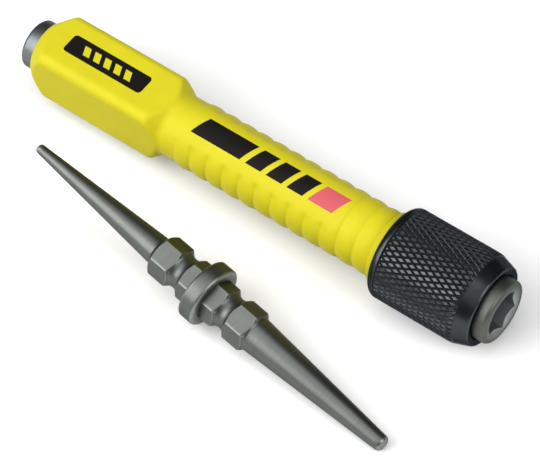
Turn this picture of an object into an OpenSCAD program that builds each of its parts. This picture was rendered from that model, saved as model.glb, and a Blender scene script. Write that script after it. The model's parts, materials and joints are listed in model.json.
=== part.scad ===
// Nail setter: a hand-held holder struck with a hammer, and a double-ended nail set that its
// quick-release chuck takes. The holder lies along X with its strike face at the origin, its nose
// towards +X and the flat face of its head up. The nail set lies beside it, as it does at rest.
// Sizes are in millimetres.

/* [Shank] */
// Diameter of the steel bar, which shows behind the grip as the strike cap
bar_d = 12.2; // [11.6:0.1:13.2]
// Length of the bar that stands out behind the grip
cap_len = 3.5; // [1.5:0.1:8]
// Bevel round the strike face
cap_bevel = 0.6; // [0.2:0.1:1.2]
// Length of the bar's spigot, pressed into the chuck's tube
spigot_len = 7; // [4:0.5:14]

/* [Grip head] */
// Width of the square head across its flats
head_w = 16.2; // [15.8:0.1:21]
// Radius along the head's four long edges
head_edge_r = 2.4; // [1:0.1:4]
// Length of the domed rear end
dome_len = 4.1; // [3:0.1:8]
// Wall of the grip round the strike cap, at the rear end
dome_wall = 0.6; // [0.3:0.1:1]
// Length of the square part between the dome and the hips
head_len = 31.5; // [20:0.1:50]
// Length of the hips that slope down to the neck
hip_len = 3; // [2:0.1:7]

/* [Grip barrel] */
// Diameter of the smooth neck
neck_d = 15.5; // [15:0.1:16.2]
// Length of the neck
neck_len = 4.7; // [3:0.1:12]
// Diameter over the crests of the ribs
crest_d = 16.4; // [16.3:0.1:17.8]
// Depth of the grooves between the ribs
groove_depth = 0.5; // [0.2:0.05:0.8]
// Distance from one rib to the next
rib_pitch = 4.61; // [3:0.01:7]
// Number of ribs along the barrel
rib_count = 12; // [6:1:18]
// Number of ribs next to the collar that run all the way round
full_ribs = 2; // [1:1:4]
// Angle of the smooth label panel's middle, from the top towards -Y
panel_turn = 10; // [0:1:30]
// Angle that the smooth label panel covers
panel_sweep = 84; // [40:1:120]
// Length of the bead at the grip's end, which the collar seats against
bead_len = 1.5; // [0.5:0.1:2]
// How far the bead laps over the collar's rear opening
bead_lap = 0.2; // [0.1:0.05:0.6]

/* [Release collar] */
// Diameter of the collar's smooth bands
collar_d = 22.9; // [22:0.1:30]
// Length of the collar
collar_len = 27.3; // [24:0.1:40]
// Radius of the collar's rear edge
collar_edge_r = 2; // [1:0.1:2.1]
// Smooth band behind the knurl, with the rear edge
rear_band = 2.2; // [2.1:0.1:6]
// Length of the front cone
cone_len = 4.5; // [3:0.1:7]
// Smooth band between the knurl and the front cone
front_band = 0.2; // [0.1:0.1:5]
// Diameter of the lip at the small end of the front cone
lip_d = 20.1; // [19:0.1:21.6]
// Radius of the lip
lip_r = 0.5; // [0.3:0.1:1]
// Depth of the knurl's grooves
knurl_depth = 0.42; // [0.2:0.02:0.6]
// Number of knurl diamonds round the collar
knurl_count = 52; // [24:1:60]
// Length of a knurl diamond
knurl_len = 3.28; // [2:0.02:5]
// Gap between the collar's rear face and the grip's bead
seat_gap = 0.1; // [0.05:0.05:0.3]

/* [Chuck] */
// How far the nose stands out of the collar
nose_out = 2.9; // [2:0.1:5]
// Radius of the nose's front edge
nose_edge_r = 0.6; // [0.4:0.1:1.7]
// Diameter of the countersink at the socket's mouth
mouth_d = 11.7; // [11.4:0.1:12.2]
// Depth of that countersink
mouth_depth = 1.1; // [0.6:0.1:2]
// Clearance across the flats between the hexagon and its socket
hex_clear = 0.16; // [0.08:0.02:0.3]
// Clearance round the taper in the deep bore
taper_clear = 0.17; // [0.1:0.01:0.3]
// Room past the tip at the bottom of the deep bore
tip_room = 3; // [1:0.5:6]

/* [Release mechanism] */
// Travel of the collar, away from the grip, that frees the nail set
collar_travel = 4; // [2.5:0.1:5]
// Diameter of the two detent balls
ball_d = 3.6; // [3:0.1:3.8]
// How far a locked ball reaches inside the hexagon's flats
ball_bite = 0.41; // [0.2:0.01:0.5]
// Clearance of a ball in its pocket, and of a released ball over the flats
ball_clear = 0.05; // [0.03:0.01:0.08]
// Gap between the nose and the collar's ramp at the locked balls
ramp_gap = 0.3; // [0.2:0.05:0.4]
// Running clearance of the end plate on the chuck, and in the collar
plate_clear = 0.05; // [0.03:0.01:0.08]
// Thickness of the end plate that the spring pushes on
plate_t = 1.2; // [0.8:0.1:2]
// Thickness of the circlip that holds the end plate
clip_t = 0.8; // [0.6:0.1:1.2]
// Width of the circlip's ring inside the collar's bore
clip_w = 1.1; // [0.8:0.1:1.3]
// Depth of the circlip's groove in the collar
clip_groove = 0.5; // [0.3:0.1:0.8]
// Wall of the collar behind the circlip
clip_setback = 1.6; // [1:0.1:2.5]
// Diameter of the spring's wire
wire_d = 1.2; // [0.8:0.1:1.3]
// Turns of the spring
spring_turns = 5; // [4:1:6]

/* [Nail set] */
// Width of the hexagons across their flats, as 3/8 inch bar
hex_af = 9.525; // [9.4:0.025:9.8]
// Length of the nail set from its middle to either tip
set_half = 54.6; // [45:0.1:60]
// Diameter of the middle flange
flange_d = 15.4; // [13:0.1:15.6]
// Thickness of the middle flange
flange_t = 4.2; // [3:0.1:6]
// Rounding of the flange's edges
flange_edge_r = 0.7; // [0.2:0.1:1.2]
// Length of each inner hexagon
inner_hex_len = 3.75; // [2.6:0.05:5]
// Length of each detent groove
detent_len = 3; // [2.4:0.1:3.4]
// Diameter at the bottom of the detent groove
detent_d = 8.3; // [7.8:0.1:8.4]
// Length of each outer hexagon
outer_hex_len = 5.75; // [4:0.05:8]
// Diameter of the slim taper where it leaves its hexagon
slim_base_d = 7.2; // [6:0.1:8.8]
// Diameter of the slim taper's tip
slim_tip_d = 2.4; // [1.6:0.1:4]
// Diameter of the stout taper where it leaves its hexagon
stout_base_d = 8.8; // [8.4:0.02:8.98]
// Diameter of the stout taper's tip
stout_tip_d = 4; // [2.4:0.1:5]
// Part of a tip's radius that is rounded off
tip_round = 0.55; // [0.3:0.05:0.7]
// Depth of the cup in each tip, as a part of the flat that is left
tip_cup = 0.7; // [0:0.1:1]
// Length of the chamfers at the ends of the hexagons
hex_chamfer = 0.6; // [0.2:0.1:1]

/* [Nail set at rest] */
// Where the flange's middle lies, along the holder
set_x = 74.9; // [60:0.1:90]
// Where the flange's middle lies, in front of the holder's axis
set_y = -31.7; // [-60:0.1:-28]
// Turn of the nail set on the surface, which brings its stout tip forwards
set_yaw = -7.2; // [-12:0.1:0]
// Roll of the hexagons about the nail set's own axis
set_roll = 50; // [0:1:59]

/* [Hidden] */
$fn = 72;
eps = 0.01;
arc_steps = 8;

steel = [0.60, 0.63, 0.65];
dark_steel = [0.42, 0.43, 0.41];
yellow = [0.88, 0.84, 0.19];
black_oxide = [0.13, 0.15, 0.16];
set_steel = [0.50, 0.52, 0.50];

// Radial fit of the grip on the bar, and the small play of flat seats
press_fit = 0.02;
seat_play = 0.03;

// How far the dome and the hips bulge, as a part of their length; less than nothing is a hollow
dome_bulge = -0.015;
hip_bulge = 0.01;

// Stations along the holder's axis, from the strike face to the nose
bar_r = bar_d / 2;
grip_x = cap_len;
head_x = grip_x + dome_len;
hip_x = head_x + head_len;
neck_x = hip_x + hip_len;
rib_x = neck_x + neck_len;
rib_end_x = rib_x + rib_count * rib_pitch;
grip_end_x = rib_end_x + bead_len;
panel_end_x = rib_end_x - full_ribs * rib_pitch;
collar_x = grip_end_x + seat_gap;
lip_x = collar_x + collar_len;
nose_x = lip_x + nose_out;

// The nail set's stations from its middle, and how deep it goes into the chuck
flange_x = flange_t / 2;
detent_x = flange_x + inner_hex_len;
outer_hex_x = detent_x + detent_len;
taper_x = outer_hex_x + outer_hex_len;
set_depth = set_half - flange_x;
hex_half = hex_af / 2;
root_relief = 0.1;

// The chuck's bore, socket and shoulders
bore_r = stout_base_d / 2 + taper_clear;
bore_x = nose_x - set_depth - tip_room;
tube_x = bore_x - spigot_len;
socket_af = hex_af + hex_clear;
socket_x = nose_x - (taper_x - flange_x) - hex_clear;

// Balls, and the ramp inside the collar that drives them
ball_r = ball_d / 2;
ball_x = nose_x - inner_hex_len - detent_len / 2;
ball_seat_r = hex_half - ball_bite + ball_r;
ball_lift = ball_bite + ball_clear;
ramp = ball_lift / collar_travel;
ramp_ball_r = ball_seat_r + ball_r + ball_clear;
ramp_spare = 0.35;
ramp_x = ball_x - collar_travel - ramp_spare;
cavity_r = ramp_ball_r + ramp * (collar_travel + ramp_spare);
nose_r = ramp_ball_r - ramp_gap;

// The collar's outline, with the run of the smooth bands down to the sleeve under the knurl
collar_r = collar_d / 2;
cone_x = lip_x - cone_len;
knurl_x = collar_x + rear_band;
knurl_end_x = cone_x - front_band;
knurl_run = 0.3;
knurl_bed = 0.05;
knurl_skin_t = 0.6;
knurl_floor_r = collar_r - knurl_depth - knurl_bed;
lip_angle = atan((collar_r - lip_d / 2) / cone_len);
collar_mouth_len = 0.8;
collar_mouth_r = nose_r + 2 * ramp_gap;

// The spring's room, between the end plate and the chuck's shoulder
clip_x = collar_x + clip_setback;
plate_x = clip_x + clip_t + seat_play;
spring_x = plate_x + plate_t + seat_play;
shoulder_x = ramp_x - collar_travel;
spring_end_x = shoulder_x - seat_play;
spring_mean_r = (bar_r + cavity_r) / 2;

// The nail set rests on the round edges of its flange and its stout tip, along the line that
// touches both
root_r = hex_half - root_relief;
stout_round_r = tip_round * stout_tip_d / 2;
rest_run = set_half - stout_round_r - (flange_x - flange_edge_r);
rest_drop = flange_d / 2 - flange_edge_r - (stout_tip_d / 2 - stout_round_r);
set_tilt = atan(rest_drop / rest_run) + asin((flange_edge_r - stout_round_r) / norm([rest_run, rest_drop]));
set_z = flange_edge_r - collar_r + (flange_x - flange_edge_r) * sin(set_tilt)
    + (flange_d / 2 - flange_edge_r) * cos(set_tilt);

// Points of an arc about a centre, as [radius, station]
function arc(centre, r, from, to) = [for (i = [0:arc_steps])
    let (a = from + (to - from) * i / arc_steps) centre + r * [cos(a), sin(a)]];

// Points of a line from p to q that bulges outwards by the given height
function bulged(p, q, height) = [for (i = [0:arc_steps])
    let (t = i / arc_steps, d = (q - p) / norm(q - p))
    p + (q - p) * t + 4 * height * t * (1 - t) * [d[1], -d[0]]];

// The two triangles of a four-cornered face, cut from its first corner to its third
function quad(a, b, c, d) = [[a, b, c], [a, c, d]];

// Turns a profile drawn as [radius, station] about the X axis
module turned() rotate([0, 90, 0]) rotate_extrude() children();

// Lays a solid drawn along +Z along +X, starting at a station
module along(x) translate([x, 0, 0]) rotate([0, 90, 0]) children();

// A square with round corners, exact in outline
module rounded_square(w, r) {
    square([w, w - 2 * r], center = true);
    square([w - 2 * r, w], center = true);
    for (x = [-1, 1], y = [-1, 1]) translate([x, y] * (w / 2 - r)) circle(r);
}

// A hexagonal bar with corners up and down, along +X from a station
module hex_bar(x, len, across_flats) along(x) cylinder(h = len, d = across_flats / cos(30), $fn = 6);

// A flat ring about the X axis
module ring(x, t, outer, inner) turned() translate([inner, x]) square([outer - inner, t]);

// Solid bar from the strike face to the chuck's tube, with its spigot
module striking_shank() color(steel) turned() polygon([
    [0, 0], [bar_r - cap_bevel, 0], [bar_r, cap_bevel], [bar_r, tube_x],
    [bore_r - press_fit, tube_x], [bore_r - press_fit, bore_x], [0, bore_x]]);

// Hole for a ball: round to the outside, with a seat that lets it reach into the socket
module ball_pocket() {
    sphere(ball_r + ball_clear);
    cylinder(h = ball_r + nose_r, r = ball_r + ball_clear);
}

// Carries its children to a locked ball's centre, pointing outwards; side is 1 or -1
module at_ball(side) translate([ball_x, side * ball_seat_r, 0]) rotate([-90 * side, 0, 0]) children();

// Nose, hexagonal socket, deep bore and the tube that the grip covers
module chuck_body() color(dark_steel) difference() {
    turned() polygon(concat(
        [[bore_r, tube_x], [bar_r, tube_x], [bar_r, shoulder_x], [nose_r, shoulder_x]],
        arc([nose_r - nose_edge_r, nose_x - nose_edge_r], nose_edge_r, 0, 90),
        [[bore_r, nose_x]]));
    hex_bar(socket_x, nose_x - socket_x + eps, socket_af);
    turned() polygon([
        [0, nose_x - mouth_depth], [bore_r, nose_x - mouth_depth], [mouth_d / 2, nose_x],
        [mouth_d / 2, nose_x + eps], [0, nose_x + eps]]);
    for (side = [-1, 1]) at_ball(side) ball_pocket();
}

// Square head: a rounded bar cut to the turned outline of its dome and hips
module grip_head() {
    corner_r = (head_w / 2 - head_edge_r) * sqrt(2) + head_edge_r;
    intersection() {
        along(grip_x) linear_extrude(neck_x - grip_x) rounded_square(head_w, head_edge_r);
        turned() polygon(concat(
            [[0, grip_x]],
            bulged([bar_r + dome_wall, grip_x], [corner_r, head_x], dome_len * dome_bulge),
            bulged([corner_r, hip_x], [neck_d / 2, neck_x], hip_len * hip_bulge),
            [[0, neck_x]]));
    }
}

// Outline of the barrel with no grooves, from the neck to a station
module barrel_outline(to_x) polygon([
    [0, neck_x - eps], [neck_d / 2, neck_x - eps], [neck_d / 2, rib_x - rib_pitch / 2],
    [crest_d / 2, rib_x + rib_pitch / 2], [crest_d / 2, to_x], [0, to_x]]);

// Outline of the ribs, each a flat arc between two grooves
module rib_outline() {
    rib_arc_r = (pow(rib_pitch / 2, 2) + pow(groove_depth, 2)) / (2 * groove_depth);
    valley_r = crest_d / 2 - groove_depth;
    translate([0, rib_x]) square([valley_r, grip_end_x - rib_x]);
    for (i = [0:rib_count - 1]) intersection() {
        translate([crest_d / 2 - rib_arc_r, rib_x + (i + 0.5) * rib_pitch]) circle(rib_arc_r);
        translate([0, rib_x + i * rib_pitch]) square([crest_d / 2, rib_pitch]);
    }
}

// Moulded grip: square head, neck, ribbed barrel and smooth label panel, on the bar
module grip() color(yellow) difference() {
    union() {
        grip_head();
        turned() intersection() {
            barrel_outline(grip_end_x);
            union() {
                translate([0, neck_x - eps]) square([neck_d / 2, rib_x + 2 * eps - neck_x]);
                rib_outline();
            }
        }
        turned() translate([0, rib_end_x]) square([cavity_r + bead_lap, bead_len]);
        rotate([0, 90, 0]) rotate([0, 0, 180 + panel_turn - panel_sweep / 2])
            rotate_extrude(angle = panel_sweep) barrel_outline(panel_end_x);
    }
    along(grip_x - eps) cylinder(h = grip_end_x - grip_x + 2 * eps, r = bar_r + press_fit);
}

// Skin of knurl diamonds on a buried sleeve: even points are tips, odd ones are where grooves cross
module knurl_skin(from_x, to_x) {
    rows = 2 * floor((to_x - from_x) / knurl_len);
    around = 2 * knurl_count;
    groove_r = collar_r - knurl_depth;
    sleeve_r = knurl_floor_r - knurl_skin_t;
    function skin_r(i, j) = j == 0 || j == rows ? groove_r : (i + j) % 2 == 0 ? collar_r : groove_r;
    function point(i, x, r) = let (a = 360 * i / around) [x, r * cos(a), r * sin(a)];
    function at(i, j) = (j % (rows + 3)) * around + i % around;
    points = concat(
        [for (j = [0:rows], i = [0:around - 1])
            point(i, from_x + (to_x - from_x) * j / rows, skin_r(i, j))],
        [for (x = [to_x, from_x], i = [0:around - 1]) point(i, x, sleeve_r)]);
    faces = [for (j = [0:rows + 2], i = [0:around - 1]) each (i + j) % 2 == 0
        ? quad(at(i, j + 1), at(i + 1, j + 1), at(i + 1, j), at(i, j))
        : quad(at(i, j), at(i, j + 1), at(i + 1, j + 1), at(i + 1, j))];
    polyhedron(points, faces);
}

// Knurled sleeve, with the spring's room and the ramp for the balls inside
module release_collar() color(black_oxide) {
    rear_r = collar_r - collar_edge_r;
    ramp_end_x = lip_x - collar_mouth_len;
    turned() polygon(concat(
        [[cavity_r, collar_x]],
        arc([rear_r, collar_x + collar_edge_r], collar_edge_r, -90, 0),
        [[collar_r, knurl_x], [knurl_floor_r, knurl_x + knurl_run],
         [knurl_floor_r, knurl_end_x - knurl_run], [collar_r, knurl_end_x], [collar_r, cone_x]],
        arc([lip_d / 2 - lip_r, lip_x - lip_r], lip_r, lip_angle, 90),
        [[collar_mouth_r, lip_x], [ramp_ball_r - ramp * (ramp_end_x - ball_x), ramp_end_x],
         [cavity_r, ramp_x], [cavity_r, clip_x + clip_t + seat_play],
         [cavity_r + clip_groove, clip_x + clip_t + seat_play],
         [cavity_r + clip_groove, clip_x - seat_play], [cavity_r, clip_x - seat_play]]));
    knurl_skin(knurl_x + knurl_run + eps, knurl_end_x - knurl_run - eps);
}

// Plate inside the collar that the spring pushes back
module collar_end_plate() color(steel)
    ring(plate_x, plate_t, cavity_r - plate_clear, bar_r + plate_clear);

// Open ring sprung into the collar's groove behind the end plate
module collar_circlip() color(dark_steel) difference() {
    ring(clip_x, clip_t, cavity_r + clip_groove - seat_play, cavity_r - clip_w);
    translate([clip_x - eps, -clip_w, -collar_r]) cube([clip_t + 2 * eps, 2 * clip_w, collar_r]);
}

// Compression spring between the end plate and the chuck's shoulder, one tube of wire
module return_spring() {
    sides = 6;
    per_turn = 20;
    steps = spring_turns * per_turn;
    wire_r = wire_d / 2;
    rise = spring_end_x - spring_x - wire_d;
    echo(spring_least_gap = rise / spring_turns - wire_d);
    function point(k, s) = let (turn = 360 * k / per_turn, a = 360 * s / sides,
        r = spring_mean_r + wire_r * cos(a))
        [spring_x + wire_r + rise * k / steps + wire_r * sin(a), r * cos(turn), r * sin(turn)];
    function at(k, s) = k * sides + s % sides;
    points = [for (k = [0:steps], s = [0:sides - 1]) point(k, s)];
    faces = concat(
        [for (k = [0:steps - 1], s = [0:sides - 1])
            each quad(at(k, s), at(k, s + 1), at(k + 1, s + 1), at(k + 1, s))],
        [[for (s = [sides - 1:-1:0]) at(0, s)]],
        [[for (s = [0:sides - 1]) at(steps, s)]]);
    color(steel) polyhedron(points, faces);
}

module detent_ball(side) color(steel) at_ball(side) sphere(ball_r);

module detent_ball_1() detent_ball(-1);

module detent_ball_2() detent_ball(1);

// One end of the nail set along +X, from the flange's middle to a rounded, cupped tip
module set_end(base_d, tip_d) {
    tip_r = tip_d / 2;
    round_r = tip_round * tip_r;
    corner_r = hex_half / cos(30);
    detent_r = detent_d / 2;
    dip = root_r - detent_r;
    detent_arc_r = (pow(detent_len / 2, 2) + dip * dip) / (2 * dip);
    detent_half_angle = asin(detent_len / 2 / detent_arc_r);
    turned() polygon(concat(
        [[0, -eps], [flange_d / 2, -eps]],
        arc([flange_d / 2 - flange_edge_r, flange_x - flange_edge_r], flange_edge_r, 0, 90),
        [[root_r, flange_x]],
        arc([detent_r + detent_arc_r, detent_x + detent_len / 2], detent_arc_r,
            180 + detent_half_angle, 180 - detent_half_angle),
        [[root_r, taper_x - hex_chamfer / 2], [base_d / 2, taper_x + (root_r - base_d / 2) / 2]],
        arc([tip_r - round_r, set_half - round_r], round_r, 0, 90),
        [[0, set_half - (tip_r - round_r) * tip_cup]]));
    for (hex = [[flange_x, inner_hex_len, 0], [outer_hex_x, outer_hex_len, 1]]) intersection() {
        hex_bar(hex[0], hex[1], hex_af);
        turned() polygon([
            [0, hex[0]], [hex[2] == 0 ? corner_r : root_r, hex[0]],
            [corner_r, hex[0] + hex[2] * hex_chamfer], [corner_r, hex[0] + hex[1] - hex_chamfer],
            [root_r, hex[0] + hex[1]], [0, hex[0] + hex[1]]]);
    }
}

// Double-ended nail set, lying on its flange and its stout tip
module nail_set() color(set_steel) translate([set_x, set_y, set_z]) rotate([0, set_tilt, set_yaw])
    rotate([set_roll, 0, 0]) {
        set_end(stout_base_d, stout_tip_d);
        rotate([0, 0, 180]) set_end(slim_base_d, slim_tip_d);
    }

striking_shank();
chuck_body();
grip();
release_collar();
collar_end_plate();
collar_circlip();
return_spring();
detent_ball_1();
detent_ball_2();
nail_set();
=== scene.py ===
import json
from math import asin, atan2, cos, hypot, pi, radians, sin, sqrt, tan

import bmesh
import bpy
from bpy.props import FloatProperty, FloatVectorProperty, IntProperty, PointerProperty
from mathutils import Euler, Matrix, Quaternion, Vector

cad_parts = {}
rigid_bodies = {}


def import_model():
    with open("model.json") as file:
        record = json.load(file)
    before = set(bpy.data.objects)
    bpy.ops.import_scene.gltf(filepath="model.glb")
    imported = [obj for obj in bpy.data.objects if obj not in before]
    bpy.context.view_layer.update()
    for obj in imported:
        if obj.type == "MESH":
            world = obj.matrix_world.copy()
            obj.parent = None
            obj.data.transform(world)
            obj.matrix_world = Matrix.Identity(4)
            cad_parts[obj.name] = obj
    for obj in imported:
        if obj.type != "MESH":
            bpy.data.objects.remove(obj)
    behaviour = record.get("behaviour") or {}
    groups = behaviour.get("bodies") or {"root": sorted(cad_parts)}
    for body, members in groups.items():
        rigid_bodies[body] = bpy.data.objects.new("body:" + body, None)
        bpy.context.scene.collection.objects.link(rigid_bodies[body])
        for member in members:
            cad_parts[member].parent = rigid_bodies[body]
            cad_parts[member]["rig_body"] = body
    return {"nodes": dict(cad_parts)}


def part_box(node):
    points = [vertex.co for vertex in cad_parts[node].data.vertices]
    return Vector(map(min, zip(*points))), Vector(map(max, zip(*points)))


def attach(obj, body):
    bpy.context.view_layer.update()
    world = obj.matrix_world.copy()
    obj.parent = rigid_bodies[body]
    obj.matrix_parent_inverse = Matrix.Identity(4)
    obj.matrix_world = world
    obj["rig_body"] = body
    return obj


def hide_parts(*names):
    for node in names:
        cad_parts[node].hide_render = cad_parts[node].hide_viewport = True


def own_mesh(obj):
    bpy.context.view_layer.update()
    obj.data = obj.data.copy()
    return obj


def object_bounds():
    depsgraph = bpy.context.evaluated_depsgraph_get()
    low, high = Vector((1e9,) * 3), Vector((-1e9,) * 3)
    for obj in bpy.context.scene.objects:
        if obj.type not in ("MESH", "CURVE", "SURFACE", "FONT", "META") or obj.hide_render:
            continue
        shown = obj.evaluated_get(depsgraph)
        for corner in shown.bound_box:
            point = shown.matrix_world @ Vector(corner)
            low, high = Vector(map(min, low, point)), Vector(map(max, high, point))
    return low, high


bl_info = {
    "name": "Nail setter",
    "version": (1, 0, 0),
    "blender": (4, 5, 0),
    "location": "3D View > Sidebar > Nail setter",
    "description": "Dresses a nail setter: ribbed grip, knurled chuck and double-ended nail set",
    "category": "Object",
}

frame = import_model()
cad_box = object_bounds()

# Two lengths closer than this, in millimetres, count as one
SAME = 0.001
# A colour Mix node shares the names of its sockets with its other types, so they go by number
FACTOR, COLOUR_A, COLOUR_B = 0, 6, 7
COLOUR_OUT = 2


def linear(hex_colour):
    """An sRGB hex colour as the linear values that Blender works in."""
    parts = [int(hex_colour[i:i + 2], 16) / 255 for i in (1, 3, 5)]
    return tuple(c / 12.92 if c <= 0.04045 else ((c + 0.055) / 1.055) ** 2.4 for c in parts)


def shade(tint, factor=1):
    """A linear colour as a node takes it, made darker or lighter by a factor."""
    return (*[min(c * factor, 1) for c in tint], 1)


def length(name, millimetres, description):
    """A size that a user may change, given in millimetres and kept in metres."""
    return FloatProperty(name=name, description=description, default=millimetres / 1000, min=0,
                         precision=5, unit="LENGTH")


def turn(name, angle, description):
    """An angle that a user may change, given in degrees."""
    return FloatProperty(name=name, description=description, default=radians(angle),
                         subtype="ANGLE")


def colour(name, hex_colour, description):
    """A colour that a user may change, given as sRGB hex."""
    return FloatVectorProperty(name=name, description=description, default=linear(hex_colour),
                               size=3, min=0, max=1, subtype="COLOR")


def share(name, value, description):
    """A number from 0 to 1 that a user may change."""
    return FloatProperty(name=name, description=description, default=value, min=0, max=1,
                         subtype="FACTOR")


def watts(name, value, description):
    """The power of a lamp, which a user may change."""
    return FloatProperty(name=name, description=description, default=value, min=0, unit="POWER")


class NailSetterGrip(bpy.types.PropertyGroup):
    """Sizes and colours of the moulded grip"""
    head_width: length("Head width", 16.2, "Width of the square head across its flats")
    head_edge: length("Head edge", 2.4, "Radius along the head's four long edges")
    dome_length: length("Dome length", 4.1, "Length of the cone at the rear of the head")
    dome_wall: length("Dome wall", 0.6, "Wall of the grip round the strike bar, at the rear")
    head_length: length("Head length", 31.5, "Length of the square part of the head")
    hip_length: length("Hip length", 3.0, "Length of the slope from the head to the neck")
    soft_edge: length("Soft edge", 0.55, "Width over which the head's flats meet its cones")
    neck_diameter: length("Neck diameter", 15.5, "Diameter of the smooth neck")
    neck_length: length("Neck length", 4.7, "Length of the smooth neck")
    crest_diameter: length("Crest diameter", 16.4, "Diameter over the crests of the ribs")
    groove_depth: length("Groove depth", 0.5, "Depth of the grooves between the ribs")
    rib_pitch: length("Rib pitch", 4.61, "Distance from one rib to the next")
    rib_count: IntProperty(name="Ribs", description="Number of ribs along the barrel", default=12,
                           min=3)
    full_ribs: IntProperty(name="Full ribs", description="Ribs by the collar that run all round",
                           default=2, min=0)
    panel_turn: turn("Panel turn", 10, "Angle of the label panel's middle, from the top")
    panel_sweep: turn("Panel sweep", 84, "Angle that the smooth label panel covers")
    panel_fade: turn("Panel fade", 15, "Angle over which the grooves run out into the panel")
    plastic: colour("Plastic", "#D3C822", "Colour of the moulded grip")
    ink: colour("Ink", "#12100D", "Colour of the printed bars and label")
    accent: colour("Accent", "#CE5C64", "Colour of the one accent bar")
    roughness: share("Roughness", 0.5, "Roughness of the moulded surface")


class NailSetterCollar(bpy.types.PropertyGroup):
    """Sizes and colours of the knurled release collar"""
    rear_edge: length("Rear edge", 2.0, "Radius of the rear edge")
    cone_length: length("Cone length", 4.5, "Length of the front cone")
    lip_diameter: length("Lip diameter", 19.9, "Diameter at the small end of the front cone")
    lip_edge: length("Lip edge", 0.5, "Radius of the lip")
    knurl_count: IntProperty(name="Diamonds", description="Knurl diamonds round the collar",
                             default=52, min=12)
    knurl_rows: IntProperty(name="Rows", description="Knurl diamonds along the collar", default=7,
                            min=1)
    knurl_depth: length("Knurl depth", 0.34, "Depth of the grooves between the diamonds")
    knurl_slope: length("Knurl slope", 0.29, "Width of a diamond's sloping sides")
    steel: colour("Blackened steel", "#3F4345", "Colour of the black oxide")
    # Lighter steel for the rubbed lip and diamond tops, also used as a painted highlight
    worn_and_lit: colour("Worn steel", "#7C8084", "Colour of the steel where the oxide has rubbed off")
    # Painted shade: the near-black colour of the diamonds' sides, in place of the grooves' shade
    flank_shade: colour("Dirt", "#0B0C0D", "Colour of the dried oil on the sides of the diamonds")
    # Rubbing and painted highlight: how far the diamonds' tops and the lip's edge are coloured
    # lighter
    top_wear_and_highlight: share("Top wear", 0.1, "How far the tops of the diamonds are rubbed bright")
    lip_wear_and_highlight: share("Lip wear", 0.35, "How far the edge of the lip is rubbed bright")
    # Painted shade: how far the diamonds' sides are coloured near black
    flank_shade_share: share("Side dirt", 0.4, "How much of the diamonds' sides the dirt covers")
    roughness: share("Roughness", 0.29, "Roughness of the black oxide")


class NailSetterChuck(bpy.types.PropertyGroup):
    """Sizes and colours of the strike bar and the chuck's nose"""
    strike_bevel: length("Strike bevel", 0.6, "Bevel round the strike face")
    nose_diameter: length("Nose diameter", 15.9, "Diameter of the nose in the collar's mouth")
    nose_edge: length("Nose edge", 1.0, "Radius of the nose's front edge")
    mouth_diameter: length("Mouth diameter", 11.7, "Diameter of the countersink at the socket")
    mouth_depth: length("Mouth depth", 1.1, "Depth of the countersink")
    socket_width: length("Socket width", 9.685, "Width of the hexagonal socket across its flats")
    socket_depth: length("Socket depth", 12.66, "Depth of the hexagonal socket")
    bore_diameter: length("Bore diameter", 9.14, "Diameter of the round bore behind the socket")
    bar_steel: colour("Bar steel", "#707476", "Colour of the turned strike bar")
    nose_steel: colour("Nose steel", "#636660", "Colour of the chuck's nose")
    # Lighter steel for the socket and the mouth's rim: bright broached metal, also painted light
    # inside the socket and a painted highlight on the rim
    cut_and_lit_steel: colour("Cut steel", "#A9ADB0", "Colour of the socket, bright from the broach")
    bar_roughness: share("Bar roughness", 0.42, "Roughness of the strike bar")
    nose_roughness: share("Nose roughness", 0.5, "Roughness of the nose")


class NailSetterSet(bpy.types.PropertyGroup):
    """Sizes, place and colours of the double-ended nail set"""
    half_length: length("Half length", 54.6, "From the middle to either tip")
    hexagon: length("Hexagon", 9.525, "Width of the hexagons across their flats")
    flange_diameter: length("Flange diameter", 15.4, "Diameter of the middle flange")
    flange_thickness: length("Flange thickness", 4.2, "Thickness of the middle flange")
    flange_edge: length("Flange edge", 0.7, "Rounding of the flange's edges")
    inner_hexagon: length("Inner hexagon", 3.75, "Length of each inner hexagon")
    groove_length: length("Groove length", 3.0, "Length of each detent groove")
    groove_diameter: length("Groove diameter", 8.3, "Diameter at the bottom of a groove")
    outer_hexagon: length("Outer hexagon", 5.75, "Length of each outer hexagon")
    chamfer: length("Chamfer", 0.6, "Length of the chamfers at the hexagons' ends")
    slim_base: length("Slim base", 7.2, "Diameter of the slim taper at its hexagon")
    slim_tip: length("Slim tip", 2.4, "Diameter of the slim tip")
    stout_base: length("Stout base", 8.8, "Diameter of the stout taper at its hexagon")
    stout_tip: length("Stout tip", 4.0, "Diameter of the stout tip")
    along: length("Along", 74.9, "Where the flange's middle lies, along the holder")
    aside: length("Aside", 31.7, "How far the flange's middle lies in front of the holder")
    yaw: turn("Yaw", -7.2, "Turn of the nail set on the floor")
    roll: turn("Roll", 50, "Roll of the hexagons about the nail set's own axis")
    steel: colour("Tool steel", "#646764", "Colour of the hardened steel")
    # Lighter steel for rubbed edges, also used as a painted highlight along them
    worn_and_lit: colour("Worn steel", "#9DA09D", "Colour of the steel along worn edges")
    roughness: share("Roughness", 0.41, "Roughness of the hardened steel")


class NailSetterMechanism(bpy.types.PropertyGroup):
    """Sizes and colours of the release mechanism inside the collar"""
    wire_diameter: length("Wire diameter", 1.2, "Diameter of the return spring's wire")
    spring_turns: IntProperty(name="Spring turns", description="Turns of the return spring",
                              default=5, min=2)
    wire_steel: colour("Wire steel", "#6F7377", "Colour of the spring and the open ring")
    plate_steel: colour("Plate steel", "#9AA0A4", "Colour of the stamped end plate")
    ball_steel: colour("Ball steel", "#C4C7C9", "Colour of the polished balls")


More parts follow.
